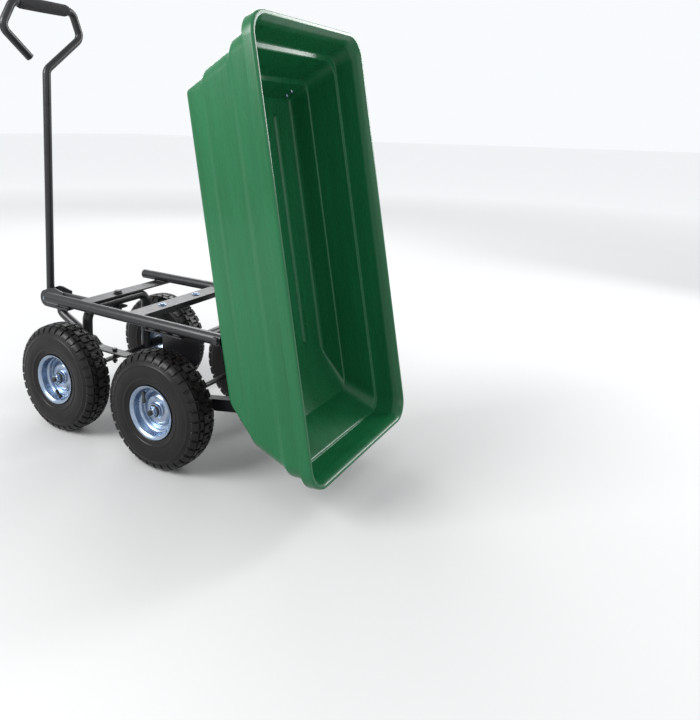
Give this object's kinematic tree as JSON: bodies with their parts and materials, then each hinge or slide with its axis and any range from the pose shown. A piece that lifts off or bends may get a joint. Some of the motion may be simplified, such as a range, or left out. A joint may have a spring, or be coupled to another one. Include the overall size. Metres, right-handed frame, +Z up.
{
  "type": "tipping garden cart",
  "caption": "Hand-pulled four-wheel garden cart with a moulded tub that tips rearward on a hinge to dump, pneumatic tyres, steered front fork and an open D pull handle",
  "frame": {"origin": "on the floor under the middle of the cart's bounding box, tub tipped and handle upright", "axes": "+X forward to the pull handle, +Y to the cart's left, +Z up"},
  "size_m": [0.9977, 0.442, 1.0449],
  "materials": {
    "green_plastic": "moulded green polyethylene, softly glossy",
    "black_paint": "satin black powder coat on steel",
    "zinc_steel": "bright zinc plate with a faint blue cast",
    "tyre_rubber": "dark tyre rubber",
    "soft_rubber": "matt black rubber",
    "black_plastic": "matt black moulded plastic",
    "grip_foam": "closed-cell foam sleeve"
  },
  "bodies": {
    "frame": {"rail_left": "black_paint", "rail_right": "black_paint", "rail_cap_left": "black_plastic", "rail_cap_right": "black_plastic", "front_cross_bar": "black_paint", "mid_cross_channel": "black_paint", "cross_bolt_left": "zinc_steel", "cross_bolt_right": "zinc_steel", "rear_hanger_left": "black_paint", "rear_hanger_right": "black_paint", "rear_fork": "black_paint", "rear_axle": "black_paint", "rear_axle_nut_left": "zinc_steel", "rear_axle_nut_right": "zinc_steel", "kingpin_bolt": "black_paint", "kingpin_nut": "black_paint", "hinge_bolt_left": "black_paint", "hinge_bolt_right": "black_paint"},
    "steering": {"front_fork": "black_paint", "front_axle": "black_paint", "front_axle_nut_left": "zinc_steel", "front_axle_nut_right": "zinc_steel", "drawbar": "black_paint", "lower_strut": "black_paint", "strut_bolt": "black_paint", "handle_bracket": "black_paint", "handle_bolt": "zinc_steel", "handle_bolt_nut": "zinc_steel"},
    "handle": {"handle_tube": "black_paint", "handle_grip": "grip_foam"},
    "tub_body": {"tub": "green_plastic", "tub_bar_left": "black_paint", "tub_bar_right": "black_paint", "stop_foot_left": "soft_rubber", "stop_foot_right": "soft_rubber", "tub_bolt_1": "zinc_steel", "tub_bolt_2": "zinc_steel", "tub_bolt_3": "zinc_steel", "tub_bolt_4": "zinc_steel", "latch_bracket": "black_paint", "latch_pin": "zinc_steel"},
    "latch": {"latch_lever": "black_paint"},
    "wheel_front_left": {"tyre_front_left": "tyre_rubber", "rim_front_left": "zinc_steel", "hub_front_left": "black_plastic", "valve_front_left": "soft_rubber"},
    "wheel_front_right": {"tyre_front_right": "tyre_rubber", "rim_front_right": "zinc_steel", "hub_front_right": "black_plastic", "valve_front_right": "soft_rubber"},
    "wheel_rear_left": {"tyre_rear_left": "tyre_rubber", "rim_rear_left": "zinc_steel", "hub_rear_left": "black_plastic", "valve_rear_left": "soft_rubber"},
    "wheel_rear_right": {"tyre_rear_right": "tyre_rubber", "rim_rear_right": "zinc_steel", "hub_rear_right": "black_plastic", "valve_rear_right": "soft_rubber"}
  },
  "joints": [
    {"name": "steer", "type": "hinge", "parent": "frame", "child": "steering", "pos_m": [0.208, 0, 0.28], "axis": [0, 0, 1], "range_deg": [-12, 12]},
    {"name": "handle_swing", "type": "hinge", "parent": "steering", "child": "handle", "pos_m": [0.4745, 0, 0.245], "axis": [0, 1, 0], "range_deg": [0, 100]},
    {"name": "tub_tip", "type": "hinge", "parent": "frame", "child": "tub_body", "pos_m": [-0.2485, 0, 0.312], "axis": [0, 1, 0], "range_deg": [0, 79.2]},
    {"name": "latch_hook", "type": "hinge", "parent": "tub_body", "child": "latch", "pos_m": [-0.15808, 0, 0.81802], "axis": [0, 1, 0], "range_deg": [0, 20]},
    {"name": "roll_front_left", "type": "hinge", "parent": "steering", "child": "wheel_front_left", "pos_m": [0.208, 0.18, 0.13], "axis": [0, 1, 0], "continuous": true},
    {"name": "roll_front_right", "type": "hinge", "parent": "steering", "child": "wheel_front_right", "pos_m": [0.208, -0.18, 0.13], "axis": [0, 1, 0], "continuous": true},
    {"name": "roll_rear_left", "type": "hinge", "parent": "frame", "child": "wheel_rear_left", "pos_m": [-0.098, 0.18, 0.13], "axis": [0, 1, 0], "continuous": true},
    {"name": "roll_rear_right", "type": "hinge", "parent": "frame", "child": "wheel_rear_right", "pos_m": [-0.098, -0.18, 0.13], "axis": [0, 1, 0], "continuous": true}
  ]
}
